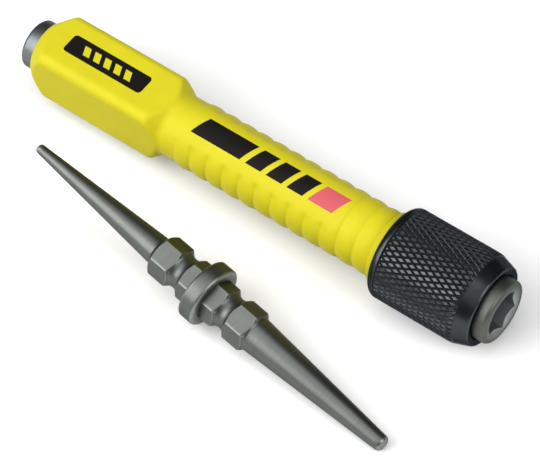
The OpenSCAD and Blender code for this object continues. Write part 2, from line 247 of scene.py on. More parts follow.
class NailSetterStage(bpy.types.PropertyGroup):
    """Floor, light and camera"""
    floor: colour("Floor", "#FAFAFA", "Colour of the floor")
    bounce: colour("Bounce", "#969696", "Colour that the floor throws back on the object")
    glow: share("Glow", 0.1, "White that is added to the floor where it is seen or mirrored")
    surround: share("Surround", 0.12, "Brightness of the room round the object")
    key_power: watts("Key power", 10.6, "Power of the softbox in front, on the left")
    top_power: watts("Top power", 3.7, "Power of the softbox overhead")
    side_power: watts("Side power", 4.2, "Power of the softbox on the right")
    fill_power: watts("Fill power", 0.7, "Power of the softbox beside the camera")
    camera_turn: turn("Camera turn", 40.68, "Direction of the camera round the object")
    camera_height: turn("Camera height", 54.95, "Angle of the camera above the floor")
    camera_roll: turn("Camera roll", -4.63, "Roll of the camera about its line of sight")
    camera_distance: length("Camera distance", 863.2, "Distance of the camera from its aim")
    camera_lens: FloatProperty(name="Camera lens", description="Focal length, for a 36 mm frame",
                               default=249.88, min=1, unit="CAMERA")
    aim: FloatVectorProperty(name="Aim", description="Point that camera and softboxes look at",
                             default=(0.07288, -0.00621, -0.01144), size=3, precision=5,
                             subtype="TRANSLATION", unit="LENGTH")


def in_mm(group, *names):
    """The named sizes of a settings group, in millimetres."""
    return [getattr(group, name) * 1000 for name in names]


def corners(node):
    """Lowest and highest corner of a CAD node, in millimetres."""
    low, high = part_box(node)
    return low * 1000, high * 1000


def ease(value, start, end):
    """Rises smoothly from 0 at start to 1 at end."""
    t = min(max((value - start) / (end - start), 0), 1)
    return t * t * (3 - 2 * t)


def closeness(a, b, width):
    """1 where two radii are equal, falling to 0 where they are width apart."""
    return max(width - abs(a - b), 0) / width


def soft_min(a, b, width):
    """The smaller of two radii, rounded off where they cross."""
    return min(a, b) - closeness(a, b, width) ** 2 * width / 4


def square_radius(angle, half, edge):
    """From the axis to a square with rounded edges, at an angle from one flat's middle."""
    a = abs((angle + pi / 4) % (pi / 2) - pi / 4)
    inner = half - edge
    if half * tan(a) <= inner:
        return half / cos(a)
    reach = inner * (cos(a) + sin(a))
    return reach + sqrt(reach ** 2 - 2 * inner ** 2 + edge ** 2)


def hexagon_radius(angle, half):
    """From the axis to a hexagon with a corner at angle 0."""
    return half / cos(angle % (pi / 3) - pi / 6)


def lathe(points, steps, spacing):
    """Turns an open profile about the X axis. A point is its station, radius and rounding, and the
    spacing of the rings is a length or a rule that gives one for a station."""
    bm = bmesh.new()
    profile = [bm.verts.new((x, 0, r)) for x, r, _ in points]
    for ends in zip(profile, profile[1:]):
        bm.edges.new(ends)
    for corner, (_, _, rounding) in zip(profile, points):
        if rounding:
            bmesh.ops.bevel(bm, geom=[corner], offset=rounding, offset_type="OFFSET",
                            segments=3 + int(4 * rounding), profile=0.5, affect="VERTICES",
                            material=-1)
    for edge in bm.edges[:]:
        middle_x = (edge.verts[0].co.x + edge.verts[1].co.x) / 2
        cuts = int(edge.calc_length() / (spacing(middle_x) if callable(spacing) else spacing))
        if cuts:
            bmesh.ops.subdivide_edges(bm, edges=[edge], cuts=cuts)
    bmesh.ops.spin(bm, geom=bm.verts[:] + bm.edges[:], cent=(0, 0, 0), axis=(1, 0, 0),
                   angle=2 * pi, steps=steps, use_merge=True)
    bmesh.ops.remove_doubles(bm, verts=bm.verts, dist=SAME)
    return bm


def polar(vert):
    """Station, angle from the top towards the front, and radius of a point."""
    x, y, z = vert.co
    return x, atan2(-y, z), hypot(y, z)


def place(vert, x, angle, r):
    """Puts a point at a station, an angle from the top towards the front, and a radius."""
    vert.co = (x, -r * sin(angle), r * cos(angle))


def rim(bm, x):
    """The open edges that lie at a station."""
    return [e for e in bm.edges if e.is_boundary
            and all(abs(v.co.x - x) < SAME for v in e.verts)]


def draw_out(bm, loop, rule):
    """Extrudes an open loop. The rule gives each new point's station and radius at its angle."""
    made = bmesh.ops.extrude_edge_only(bm, edges=loop)["geom"]
    fresh = {g for g in made if isinstance(g, bmesh.types.BMVert)}
    for vert in fresh:
        angle = polar(vert)[1]
        x, r = rule(angle)
        place(vert, x, angle, r)
    return [g for g in made if isinstance(g, bmesh.types.BMEdge) and set(g.verts) <= fresh]


def finish_piece(bm, name, node, material, sharp=32):
    """Closes a mesh made in millimetres, brings it to metres and hangs it where its node hangs."""
    bmesh.ops.remove_doubles(bm, verts=bm.verts, dist=SAME)
    bmesh.ops.recalc_face_normals(bm, faces=bm.faces)
    bmesh.ops.scale(bm, vec=(0.001, 0.001, 0.001), verts=bm.verts)
    if any(not e.is_manifold for e in bm.edges):
        raise RuntimeError(f"{name} has open seams")
    mesh = bpy.data.meshes.new(name)
    bm.to_mesh(mesh)
    bm.free()
    mesh.shade_smooth()
    mesh.set_sharp_from_angle(angle=radians(sharp))
    mesh.materials.append(material)
    piece = bpy.data.objects.new(name, mesh)
    bpy.context.scene.collection.objects.link(piece)
    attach(piece, frame["nodes"][node]["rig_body"])
    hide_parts(node)
    return piece


def add(tree, kind, inputs=(), **settings):
    """Adds a shader node with its settings. Inputs pair a socket with a value or an output."""
    node = tree.nodes.new("ShaderNode" + kind)
    for name, value in settings.items():
        setattr(node, name, value)
    for socket, value in dict(inputs).items():
        if isinstance(value, bpy.types.NodeSocket):
            tree.links.new(value, node.inputs[socket])
        else:
            node.inputs[socket].default_value = value
    return node


def new_material(name):
    """A material with its node tree, its shader, and its coordinates in millimetres."""
    material = bpy.data.materials.new(name)
    material.use_nodes = True
    tree = material.node_tree
    shader = tree.nodes["Principled BSDF"]
    coordinates = add(tree, "TexCoord").outputs["Object"]
    millimetres = add(tree, "Mapping", {
        "Vector": coordinates, "Scale": (0.001, 0.001, 0.001)}, vector_type="TEXTURE")
    return material, tree, shader, millimetres


def moulded_abs(grip):
    """Injection-moulded ABS: an even colour, a broad soft gloss from the fine spark-eroded skin of
    its mould, and flat printed bars that are a little duller than the plastic."""
    material, tree, shader, millimetres = new_material("Moulded ABS")
    at = millimetres.outputs[0]
    x, y, z = add(tree, "SeparateXYZ", {0: at}).outputs
    front = add(tree, "Math", {0: y, 1: -1.0}, operation="MULTIPLY").outputs[0]
    angle = add(tree, "Math", {0: front, 1: z}, operation="ARCTAN2").outputs[0]
    flat_z, crest_r = [size / 2 for size in in_mm(grip, "head_width", "crest_diameter")]
    across = add(tree, "Math", {0: angle, 1: crest_r, 2: -crest_r * grip.panel_turn},
                 operation="MULTIPLY_ADD").outputs[0]

    # The print, in millimetres. A bar is its middle along the holder and half its width
    plate_x, plate_reach, plate_corner = 22.2, (10.4, 1.7, 1.0), 1.0
    window_bars, window_reach = [(plate_x + 3.0 * i, 0.9) for i in range(-2, 3)], 1.25
    ink_bars, accent_bars = [(57.5, 7.0), (68.3, 2.2), (74.2, 2.2), (80.1, 2.2)], [(87.2, 3.4)]
    bar_reach, bar_lean = 2.6, 0.42

    def slanted_bars(bars, half_height, sideways):
        """A mask of bars that all lean the same way."""
        lean = add(tree, "Math", {0: sideways, 1: bar_lean, 2: x}, operation="MULTIPLY_ADD")
        mask = None
        for middle, half_width in bars:
            bar = add(tree, "Math", {0: lean.outputs[0], 1: middle, 2: half_width},
                      operation="COMPARE").outputs[0]
            mask = bar if mask is None else add(
                tree, "Math", {0: mask, 1: bar}, operation="MAXIMUM").outputs[0]
        within = add(tree, "Math", {0: sideways, 1: 0.0, 2: half_height},
                     operation="COMPARE").outputs[0]
        return add(tree, "Math", {0: mask, 1: within}, operation="MULTIPLY").outputs[0]

    on_top = add(tree, "Math", {0: z, 1: 0.98 * flat_z}, operation="GREATER_THAN").outputs[0]
    from_middle = add(tree, "VectorMath", {0: at, 1: (plate_x, 0, flat_z)}, operation="SUBTRACT")
    reach = add(tree, "VectorMath", {0: from_middle.outputs[0]}, operation="ABSOLUTE")
    past = add(tree, "VectorMath", {0: reach.outputs[0], 1: plate_reach}, operation="SUBTRACT")
    outside = add(tree, "VectorMath", {0: past.outputs[0], 1: (0, 0, 0)}, operation="MAXIMUM")
    corner = add(tree, "VectorMath", {0: outside.outputs[0]}, operation="LENGTH")
    plate = add(tree, "Math", {0: corner.outputs["Value"], 1: plate_corner},
                operation="LESS_THAN").outputs[0]
    plate = add(tree, "Math", {0: plate, 1: on_top}, operation="MULTIPLY").outputs[0]
    windows = slanted_bars(window_bars, window_reach, y)
    around = add(tree, "Math", {0: 1.0, 1: windows}, operation="SUBTRACT").outputs[0]
    label = add(tree, "Math", {0: plate, 1: around}, operation="MULTIPLY").outputs[0]
    dark = slanted_bars(ink_bars, bar_reach, across)
    accent = slanted_bars(accent_bars, bar_reach, across)
    printed = add(tree, "Math", {0: label, 1: dark}, operation="MAXIMUM").outputs[0]
    inked = add(tree, "Math", {0: printed, 1: accent}, operation="MAXIMUM").outputs[0]

    # Flow marks about 6 mm across shift the colour by a few percent, as in any large moulding
    flow = add(tree, "TexNoise", {"Vector": at, "Scale": 1 / 6, "Detail": 2.0})
    plastic = add(tree, "Mix", {
        FACTOR: flow.outputs[0], COLOUR_A: shade(grip.plastic, 0.95),
        COLOUR_B: shade(grip.plastic, 1.05)}, data_type="RGBA")
    blackened = add(tree, "Mix", {
        FACTOR: printed, COLOUR_A: plastic.outputs[COLOUR_OUT], COLOUR_B: shade(grip.ink)},
        data_type="RGBA")
    accented = add(tree, "Mix", {
        FACTOR: accent, COLOUR_A: blackened.outputs[COLOUR_OUT], COLOUR_B: shade(grip.accent)},
        data_type="RGBA")
    tree.links.new(accented.outputs[COLOUR_OUT], shader.inputs["Base Color"])
    rough = add(tree, "MapRange", {
        "Value": inked, "To Min": grip.roughness, "To Max": grip.roughness + 0.08})
    tree.links.new(rough.outputs[0], shader.inputs["Roughness"])
    shader.inputs["Specular IOR Level"].default_value = 0.12
    # The mould's grain is about 0.1 mm, too fine to show, so it is drawn at 0.35 mm
    grain = add(tree, "TexNoise", {"Vector": at, "Scale": 1 / 0.35, "Detail": 3.0})
    bump = add(tree, "Bump", {"Height": grain.outputs[0], "Strength": 0.08, "Distance": 0.0001})
    tree.links.new(bump.outputs[0], shader.inputs["Normal"])
    shader.inputs["IOR"].default_value = 1.53
    return material


def black_oxide(collar):
    """Black oxide on knurled steel: a thin, oiled, blue-black skin that darkens the metal but keeps
    a soft sheen. The tops of the diamonds are lighter, rubbed by use and as a painted highlight,
    and their sides near black as painted shade, so the tops catch the light and the grooves stay
    black."""
    material, tree, shader, millimetres = new_material("Black oxide steel")
    at = millimetres.outputs[0]
    # The oxide comes out uneven in patches of about 4 mm
    patch = add(tree, "TexNoise", {"Vector": at, "Scale": 1 / 4, "Detail": 4.0})
    tone = add(tree, "Mix", {
        FACTOR: patch.outputs[0], COLOUR_A: shade(collar.steel, 0.75),
        COLOUR_B: shade(collar.steel, 1.25)}, data_type="RGBA")
    # The lip and the tops of the diamonds are rubbed brighter by use, and the lighter colour is
    # also a painted highlight
    wear_and_highlight = add(tree, "Attribute", attribute_name="wear_and_highlight").outputs["Fac"]
    rubbed = add(tree, "Mix", {
        FACTOR: wear_and_highlight, COLOUR_A: tone.outputs[COLOUR_OUT], COLOUR_B: shade(collar.worn_and_lit)},
        data_type="RGBA")
    # Painted shade: the diamonds' sides are coloured near black and dull, for the shade in the
    # grooves
    flank_shade = add(tree, "Attribute", attribute_name="flank_shade").outputs["Fac"]
    flank_shaded = add(tree, "Mix", {
        FACTOR: flank_shade, COLOUR_A: rubbed.outputs[COLOUR_OUT], COLOUR_B: shade(collar.flank_shade)},
        data_type="RGBA")
    tree.links.new(flank_shaded.outputs[COLOUR_OUT], shader.inputs["Base Color"])
    off_flank = add(tree, "Math", {0: 1.0, 1: flank_shade}, operation="SUBTRACT")
    tree.links.new(off_flank.outputs[0], shader.inputs["Metallic"])
    sheen = add(tree, "MapRange", {
        "Value": patch.outputs[0], "To Min": collar.roughness - 0.06,
        "To Max": collar.roughness + 0.06})
    tree.links.new(sheen.outputs[0], shader.inputs["Roughness"])
    # Turning marks under the oxide are about 0.05 mm, drawn at 0.25 mm so that they show
    station = add(tree, "SeparateXYZ", {0: at}).outputs[0]
    marks = add(tree, "TexNoise", {"W": station, "Scale": 1 / 0.25, "Detail": 2.0},
                noise_dimensions="1D")
    bump = add(tree, "Bump", {"Height": marks.outputs[0], "Strength": 0.12, "Distance": 0.00005})
    tree.links.new(bump.outputs[0], shader.inputs["Normal"])
    # The oxide drinks the light that grazes it
    shader.inputs["Specular Tint"].default_value = (0.36, 0.36, 0.37, 1)
    return material


def bare_steel(name, tint, roughness, mark_size, spin=(0, 0, 0), middle=(0, 0, 0), worn_and_lit=None):
    """Bare steel off a lathe: grey metal with fine rings round its axis, which spread the light
    along the piece, a slightly uneven tone, and lighter metal where the attribute marks it: edges
    rubbed by handling that also carry a painted highlight, and hollows given painted light."""
    material, tree, shader, millimetres = new_material(name)
    millimetres.inputs["Rotation"].default_value = spin
    millimetres.inputs["Location"].default_value = middle
    at = millimetres.outputs[0]
    station = add(tree, "SeparateXYZ", {0: at}).outputs[0]
    across = add(tree, "VectorMath", {0: at, 1: (0, 1, 1)}, operation="MULTIPLY")
    radius = add(tree, "VectorMath", {0: across.outputs[0]}, operation="LENGTH")
    # Along the sides the tool marks follow the station, and on the ends the radius. A fine feed
    # leaves them about 0.1 mm apart, too close to show, so mark_size draws them wider
    feed = add(tree, "Math", {0: station, 1: radius.outputs["Value"]}, operation="ADD").outputs[0]
    rings = add(tree, "TexNoise", {"W": feed, "Scale": 1 / mark_size, "Detail": 3.0},
                noise_dimensions="1D").outputs[0]
    # Tone drifts over about 5 mm, as rolled and hardened bar does
    drift = add(tree, "TexNoise", {"Vector": at, "Scale": 1 / 5, "Detail": 4.0})
    uneven = add(tree, "Math", {0: rings, 1: drift.outputs[0]}, operation="ADD").outputs[0]
    uneven = add(tree, "Math", {0: uneven, 1: 0.5}, operation="MULTIPLY").outputs[0]
    metal = add(tree, "Mix", {
        FACTOR: uneven, COLOUR_A: shade(tint, 0.65), COLOUR_B: shade(tint, 1.35)},
        data_type="RGBA").outputs[COLOUR_OUT]
    # Lighter metal where the attribute marks it, partly rubbing from handling and partly painted
    # highlight and painted light
    if worn_and_lit is not None:
        wear_and_highlight = add(tree, "Attribute", attribute_name="wear_and_highlight").outputs["Fac"]
        metal = add(tree, "Mix", {
            FACTOR: wear_and_highlight, COLOUR_A: metal, COLOUR_B: shade(worn_and_lit)},
            data_type="RGBA").outputs[COLOUR_OUT]
    tree.links.new(metal, shader.inputs["Base Color"])
    spread = add(tree, "MapRange", {
        "Value": uneven, "To Min": roughness - 0.05, "To Max": roughness + 0.05})
    tree.links.new(spread.outputs[0], shader.inputs["Roughness"])
    bump = add(tree, "Bump", {"Height": rings, "Strength": 0.06, "Distance": 0.00005})
    tree.links.new(bump.outputs[0], shader.inputs["Normal"])
    shader.inputs["Metallic"].default_value = 1.0
    # A skin of oil dulls what grazes the steel
    shader.inputs["Specular Tint"].default_value = (0.5, 0.5, 0.5, 1)
    return material


class NAILSETTER_OT_grip(bpy.types.Operator):
    """Turn the grip, square its head and let its grooves run out into the label panel"""
    bl_idname = "nailsetter.grip"
    bl_label = "Moulded grip"

    def execute(self, context):
        grip = context.scene.nailsetter_grip
        half, neck_r, crest_r = [size / 2 for size in in_mm(
            grip, "head_width", "neck_diameter", "crest_diameter")]
        edge, soft, dome, wall = in_mm(grip, "head_edge", "soft_edge", "dome_length", "dome_wall")
        head, hip, neck, groove, pitch = in_mm(
            grip, "head_length", "hip_length", "neck_length", "groove_depth", "rib_pitch")
        bar_gap, bead_step = 0.02, 0.25
        low, high = corners("grip")
        bar_r = corners("striking_shank")[1].z
        bead_r = corners("collar_end_plate")[1].z + bead_step
        bore_r = bar_r + bar_gap
        head_x = low.x + dome
        hip_x = head_x + head
        neck_x = hip_x + hip
        rib_x = neck_x + neck
        bead_x = rib_x + grip.rib_count * pitch
        panel_x = bead_x - grip.full_ribs * pitch

        # The cones run on past the head's edges, where the flats cut them back
        corner_r = (half - edge) * sqrt(2) + edge
        spare = 1.0
        dome_rise = (corner_r - bar_r - wall) / dome
        hip_fall = (corner_r - neck_r) / hip
        points = [
            (low.x, bore_r, 0), (low.x, bar_r + wall, 0.2),
            (head_x + spare / dome_rise, corner_r + spare, 0),
            (hip_x - spare / hip_fall, corner_r + spare, 0),
            (neck_x, neck_r, 0.8), (rib_x - 0.2, neck_r, 0.5)]
        # A rib is the arc that touches two slopes, from one groove to the next
        valley_r = crest_r - groove
        lean = 2 * atan2(groove, pitch / 2)
        rib_arc = 0.93 * pitch / 2 / cos(lean)
        for i in range(grip.rib_count):
            start = rib_x + i * pitch
            points += [(start, valley_r, 0.1 if i else 0),
                       (start + pitch / 2, valley_r + pitch / 2 * tan(lean), rib_arc)]
        points += [(bead_x, valley_r, 0.1), (bead_x, bead_r, 0.15), (high.x, bead_r, 0.15),
                   (high.x, bore_r, 0)]
        bm = lathe(points, steps=160, spacing=0.4)

        hip_blend, panel_blend, skin = 1.5, 0.8, 0.01
        inner, outer = [(grip.panel_sweep + side * grip.panel_fade) / 2 for side in (-1, 1)]
        for vert in bm.verts:
            x, angle, r = polar(vert)
            width = soft * (1 - ease(x, neck_x, neck_x + hip_blend))
            if r > bore_r + skin:
                if width > skin:
                    r = soft_min(r, square_radius(angle, half, edge), width)
                smooth_r = neck_r + (crest_r - neck_r) * ease(
                    x, rib_x - pitch / 2, rib_x + pitch / 2)
                on_panel = 1 - ease(abs(angle - grip.panel_turn), inner, outer)
                on_panel *= ease(x, neck_x + 1, rib_x)
                on_panel *= 1 - ease(x, panel_x - panel_blend, panel_x + panel_blend)
                r += (max(smooth_r, r) - r) * on_panel
            place(vert, x, angle, r)
        bmesh.ops.bridge_loops(bm, edges=[e for e in bm.edges if e.is_boundary])
        finish_piece(bm, "grip_moulding", "grip", moulded_abs(grip), sharp=40)
        return {"FINISHED"}


class NAILSETTER_OT_collar(bpy.types.Operator):
    """Turn the release collar and cut its diamond knurl"""
    bl_idname = "nailsetter.collar"
    bl_label = "Release collar"

    def execute(self, context):
        collar = context.scene.nailsetter_collar
        rear_edge, cone, lip_r, lip_edge, depth, slope = in_mm(
            collar, "rear_edge", "cone_length", "lip_diameter", "lip_edge", "knurl_depth",
            "knurl_slope")
        lip_r /= 2
        low, high = corners("release_collar")
        radius = high.z
        floor_r = radius - depth
        cone_x = high.x - cone
        cone_fall = (radius - lip_r) / cone
        # Inside, the collar clears the end plate, and its ramp clears the locked balls
        gap, ramp_length, mouth_depth, mouth_gap = 0.05, 4.35, 0.8, 0.6
        room_r = corners("collar_end_plate")[1].z + gap
        ball_low, ball_high = corners("detent_ball_2")
        ball_x, ball_r = (ball_low.x + ball_high.x) / 2, ball_high.y + gap
        ramp_x = ball_x - ramp_length
        ramp = (room_r - ball_r) / ramp_length
        mouth_x, mouth_r = high.x - mouth_depth, corners("chuck_body")[1].z + mouth_gap

        # The knurl starts in front of a smooth, round rear band, and the cone is turned through it
        band_flat, run_in = 0.02, 0.8 * depth
        band_x = low.x + rear_edge + band_flat
        knurl_x, knurl_end_x = band_x + run_in, cone_x + depth / cone_fall
        bm = lathe([
            (knurl_end_x, floor_r, 0), (high.x, lip_r, lip_edge), (high.x, mouth_r, 0.15),
            (mouth_x, ball_r - ramp * (mouth_x - ball_x), 0.1), (ramp_x, room_r, 0),
            (low.x, room_r, 0.2), (low.x, radius, rear_edge), (band_x, radius, 0),
            (knurl_x, floor_r, 0)], steps=2 * collar.knurl_count, spacing=2.0)

        # The knurl starts as a net of cells, and joining the halves along each edge makes diamonds
        net = lathe([(knurl_x, floor_r, 0), (knurl_end_x, floor_r, 0)], steps=collar.knurl_count,
                    spacing=(knurl_end_x - knurl_x) / (collar.knurl_rows - 0.5))
        cell_edges = [e for e in net.edges if not e.is_boundary]
        middles = bmesh.ops.poke(net, faces=net.faces[:])["verts"]
        for vert in middles:
            x, angle, _ = polar(vert)
            place(vert, x, angle, floor_r)
        bmesh.ops.dissolve_edges(net, edges=cell_edges)
        bmesh.ops.recalc_face_normals(net, faces=net.faces)
        # The diamonds' sides are marked for painted shade
        flank_shade = net.faces.layers.float.new("flank_shade")
        sides = bmesh.ops.inset_individual(net, faces=net.faces[:], thickness=slope, depth=depth,
                                           use_even_offset=True)["faces"]
        for face in sides:
            face[flank_shade] = collar.flank_shade_share
        bmesh.ops.subdivide_edges(net, edges=[e for e in net.edges if e.is_boundary], cuts=1)
        seam = {v for e in net.edges if e.is_boundary for v in e.verts}
        for vert in net.verts:
            x, angle, r = polar(vert)
            turned_r = radius - cone_fall * max(x - cone_x, 0)
            place(vert, x, angle, floor_r if vert in seam else min(r, turned_r))
        knurl = bpy.data.meshes.new("knurl")
        net.to_mesh(knurl)
        net.free()
        bm.from_mesh(knurl)
        bpy.data.meshes.remove(knurl)
        top_depth = 0.05
        # The diamonds' tops and the lip's edge are coloured lighter, for rubbing and as a painted
        # highlight
        wear_and_highlight = bm.verts.layers.float.new("wear_and_highlight")
        for vert in bm.verts:
            x, _, r = polar(vert)
            to_lip = hypot(high.x - x, lip_r - r)
            on_top = knurl_x < x < cone_x and r > radius - top_depth
            vert[wear_and_highlight] = collar.top_wear_and_highlight if on_top else collar.lip_wear_and_highlight * closeness(
                to_lip, 0.2 * lip_edge, 0.3 * lip_edge)
        finish_piece(bm, "knurled_collar", "release_collar", black_oxide(collar), sharp=28)
        return {"FINISHED"}


class NAILSETTER_OT_chuck(bpy.types.Operator):
    """Turn the chuck's nose and tube, and broach its hexagonal socket"""
    bl_idname = "nailsetter.chuck"
    bl_label = "Chuck"

    def execute(self, context):
        chuck = context.scene.nailsetter_chuck
        edge, mouth, socket_depth = in_mm(chuck, "nose_edge", "mouth_depth", "socket_depth")
        nose_r, mouth_r, socket, bore_r = [size / 2 for size in in_mm(
            chuck, "nose_diameter", "mouth_diameter", "socket_width", "bore_diameter")]
        low, high = corners("chuck_body")
        bar_r = corners("striking_shank")[1].z
        ball_low, ball_high = corners("detent_ball_2")
        ball_to_shoulder, lip_to_nose, land = 8.35, 0.7, 0.1
        shoulder_x = (ball_low.x + ball_high.x) / 2 - ball_to_shoulder
        nose_x = corners("release_collar")[1].x - lip_to_nose
        bm = lathe([
            (low.x, bore_r, 0), (low.x, bar_r, 0), (shoulder_x, bar_r, 0),
            (shoulder_x, high.z, 0.2), (nose_x, high.z, 0), (nose_x + nose_r - high.z, nose_r, 0),
            (high.x, nose_r, edge), (high.x, mouth_r, 0.15)], steps=96, spacing=4.0)

        # The countersink's cone meets each flat of the socket in an arc
        def mouth_edge(angle):
            r = hexagon_radius(angle, socket)
            return high.x - mouth * (mouth_r - r) / (mouth_r - bore_r), r

        front = max((e for e in bm.edges if e.is_boundary), key=lambda e: e.verts[0].co.x)
        loop = rim(bm, front.verts[0].co.x)
        loop = draw_out(bm, loop, mouth_edge)
        at_mouth = {v for e in loop for v in e.verts}
        loop = draw_out(bm, loop, lambda a: (mouth_edge(a)[0] - land, mouth_edge(a)[1]))
        loop = draw_out(bm, loop, lambda a: (high.x - socket_depth, hexagon_radius(a, socket)))
        loop = draw_out(bm, loop, lambda a: (high.x - socket_depth, bore_r))
        draw_out(bm, loop, lambda a: (low.x, bore_r))
        # The socket's walls are coloured lighter, as broached steel and as painted light in the
        # recess, and the mouth's rim gets a painted highlight as well as rubbing
        cut_wear_and_light, rim_wear_and_highlight, rim_width = 0.8, 0.4, 0.3
        wear_and_highlight = bm.verts.layers.float.new("wear_and_highlight")
        for vert in bm.verts:
            x, _, r = polar(vert)
            in_socket = x > high.x - socket_depth - SAME and r < mouth_r - 0.2
            to_rim = hypot(high.x - x, mouth_r - r)
            vert[wear_and_highlight] = (cut_wear_and_light if in_socket and vert not in at_mouth
                          else rim_wear_and_highlight * closeness(to_rim, 0, rim_width))
        steel = bare_steel("Satin chuck steel", chuck.nose_steel, chuck.nose_roughness,
                           mark_size=0.3, worn_and_lit=chuck.cut_and_lit_steel)
        finish_piece(bm, "chuck_nose", "chuck_body", steel)
        return {"FINISHED"}


class NAILSETTER_OT_strike_bar(bpy.types.Operator):
    """Turn the bar that the hammer strikes"""
    bl_idname = "nailsetter.strike_bar"
    bl_label = "Strike bar"

    def execute(self, context):
        chuck = context.scene.nailsetter_chuck
        bevel, bore = in_mm(chuck, "strike_bevel", "bore_diameter")
        low, high = corners("striking_shank")
        tube_x = corners("chuck_body")[0].x
        spigot_gap = 0.02
        spigot_r = bore / 2 - spigot_gap
        bm = lathe([
            (low.x, 0, 0), (low.x, high.z - bevel, 0.15), (low.x + bevel, high.z, 0.2),
            (tube_x, high.z, 0), (tube_x, spigot_r, 0), (high.x, spigot_r, 0.3), (high.x, 0, 0)],
            steps=96, spacing=3.0)
        steel = bare_steel("Turned bar steel", chuck.bar_steel, chuck.bar_roughness,
                           mark_size=0.35)
        finish_piece(bm, "strike_bar", "striking_shank", steel)
        return {"FINISHED"}


class NAILSETTER_OT_nail_set(bpy.types.Operator):
    """Turn the double-ended nail set, mill its hexagons and lay it on the floor"""
    bl_idname = "nailsetter.nail_set"
    bl_label = "Nail set"

    def execute(self, context):
        tool = context.scene.nailsetter_set
        tip_x, flange_edge, inner, groove, outer, chamfer = in_mm(
            tool, "half_length", "flange_edge", "inner_hexagon", "groove_length", "outer_hexagon",
            "chamfer")
        half, flange_r, flange_x, groove_r = [size / 2 for size in in_mm(
            tool, "hexagon", "flange_diameter", "flange_thickness", "groove_diameter")]
        stout_base, stout_tip, slim_base, slim_tip = [size / 2 for size in in_mm(
            tool, "stout_base", "stout_tip", "slim_base", "slim_tip")]
        groove_x = flange_x + inner
        outer_x = groove_x + groove
        taper_x = outer_x + outer
        # The bar is turned a little wider than its hexagons, and its chamfers end just below them
        root_step, spare, base_step = 0.1, 0.45, 0.2
        tip_rounding, cup_slope, arc_share = 0.55, 0.7, 0.97
        root_r = half - root_step
        corner_r = half / cos(pi / 6)
        full_r = corner_r + spare
        ramp = chamfer * (full_r - root_r) / (corner_r - root_r)
        lean = 2 * atan2(root_r - groove_r, groove / 2)
        cove_r = root_r - groove / 2 * tan(lean)

        def one_end(base_r, tip_r):
            """The profile from the flange's rim to the middle of a cupped tip."""
            rounding = tip_rounding * tip_r
            base_x = taper_x + (root_r - base_r) / 2 + base_step
            fall = (base_r - tip_r) / (tip_x - rounding - base_x)
            return [
                (flange_x, flange_r, flange_edge), (flange_x, full_r, 0),
                (groove_x - ramp, full_r, 0), (groove_x, root_r, 0),
                (groove_x + groove / 2, cove_r, arc_share * groove / 2 / cos(lean)),
                (outer_x, root_r, 0), (outer_x + ramp, full_r, 0), (taper_x - ramp, full_r, 0),
                (taper_x, root_r, 0.1), (base_x, base_r, 0.15),
                (tip_x, tip_r - fall * rounding, arc_share * rounding),
                (tip_x, tip_r - rounding, 0.1), (tip_x - cup_slope * (tip_r - rounding), 0, 0)]

        fine, coarse = 0.13, 0.9

        def spacing(x):
            """Rings lie closer where a chamfer runs across the hexagons' flats."""
            to_chamfer = min(abs(abs(x) - end) for end in (groove_x, outer_x, taper_x))
            return fine if to_chamfer < ramp else coarse

        stout, slim = one_end(stout_base, stout_tip), one_end(slim_base, slim_tip)
        bm = lathe([(-x, r, rounding) for x, r, rounding in reversed(slim)] + stout,
                   steps=96, spacing=spacing)
        # Painted highlight: the hexagons' edges and chamfers and the flange's rim are coloured
        # lighter, as rubbing and in place of the highlights along them; the tips are rubbed bright
        corner_wear_and_highlight, flange_wear_and_highlight, tip_wear = 0.6, 0.7, 0.5
        corner_cut, corner_blend, chamfer_blend, chamfer_width = 0.04, 0.16, 0.12, 0.14
        crowding = 1.8
        wear_and_highlight = bm.verts.layers.float.new("wear_and_highlight")
        for vert in bm.verts:
            x, angle, r = polar(vert)
            # Columns of points crowd towards the hexagon's corners, which are slightly round
            off_corner = (angle + pi / 6) % (pi / 3) - pi / 6
            crowded = pi / 6 * abs(off_corner * 6 / pi) ** crowding
            angle += (crowded if off_corner > 0 else -crowded) - off_corner
            reach = abs(x)
            if (flange_x - SAME < reach < groove_x + SAME
                    or outer_x - SAME < reach < taper_x + SAME):
                flat = hexagon_radius(angle, half)
                vert[wear_and_highlight] = corner_wear_and_highlight * max(closeness(flat, corner_r, corner_blend),
                                               closeness(flat, r, chamfer_width))
                flat = soft_min(flat, corner_r - corner_cut, corner_blend)
                r = soft_min(r, flat, chamfer_blend)
            elif reach < flange_x + SAME:
                vert[wear_and_highlight] = flange_wear_and_highlight * ease(reach, flange_x - flange_edge,
                                                flange_x - 0.2 * flange_edge)
            else:
                vert[wear_and_highlight] = tip_wear * ease(reach, tip_x - 1.2, tip_x - 0.3)
            place(vert, x, angle, r)

        # It lies on the round edges of its flange and its stout tip
        tip_edge = tip_rounding * stout_tip
        run = tip_x - tip_edge - (flange_x - flange_edge)
        drop = flange_r - flange_edge - (stout_tip - tip_edge)
        tilt = atan2(drop, run) + asin((flange_edge - tip_edge) / hypot(run, drop))
        floor_z = corners("release_collar")[0].z
        height = (floor_z + flange_edge + (flange_x - flange_edge) * sin(tilt)
                  + (flange_r - flange_edge) * cos(tilt))
        along, aside = in_mm(tool, "along", "aside")
        middle = Vector((along, -aside, height))
        lie = Euler((tool.roll, tilt, tool.yaw))
        bmesh.ops.transform(bm, matrix=Matrix.Translation(middle) @ lie.to_matrix().to_4x4(),
                            verts=bm.verts)
        steel = bare_steel("Hardened tool steel", tool.steel, tool.roughness, mark_size=0.4,
                           spin=lie, middle=middle / 1000, worn_and_lit=tool.worn_and_lit)
        finish_piece(bm, "nail_set_steel", "nail_set", steel)
        return {"FINISHED"}


